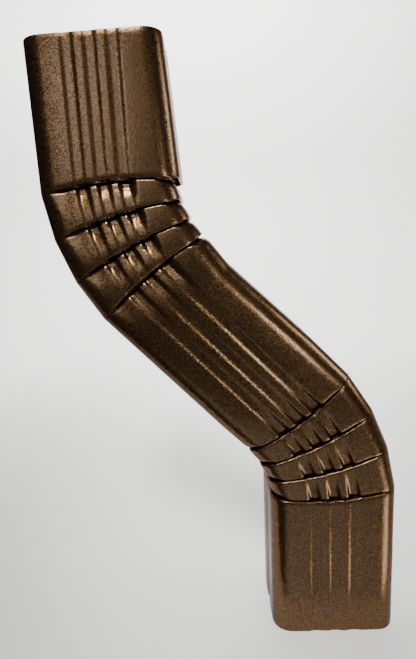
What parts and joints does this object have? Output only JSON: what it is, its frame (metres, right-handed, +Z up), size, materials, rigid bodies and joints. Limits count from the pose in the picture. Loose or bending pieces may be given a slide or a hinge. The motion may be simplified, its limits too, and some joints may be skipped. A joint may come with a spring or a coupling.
{
  "type": "downspout elbow",
  "caption": "Corrugated rectangular sheet tube with two pleated bends and a slanting run, which carries roof water sideways past a ledge.",
  "frame": {"origin": "centre of the inlet mouth, in the plane of its rim", "axes": "+Z up along the two straight ends, as installed; +X from the inlet towards the outlet; -Y is the front face"},
  "size_m": [0.2179, 0.0604, 0.3933],
  "materials": {
    "powder_coat": "bronze brown textured powder coat, semi-gloss"
  },
  "bodies": {
    "root": {"downspout_elbow": "powder_coat"}
  },
  "joints": []
}
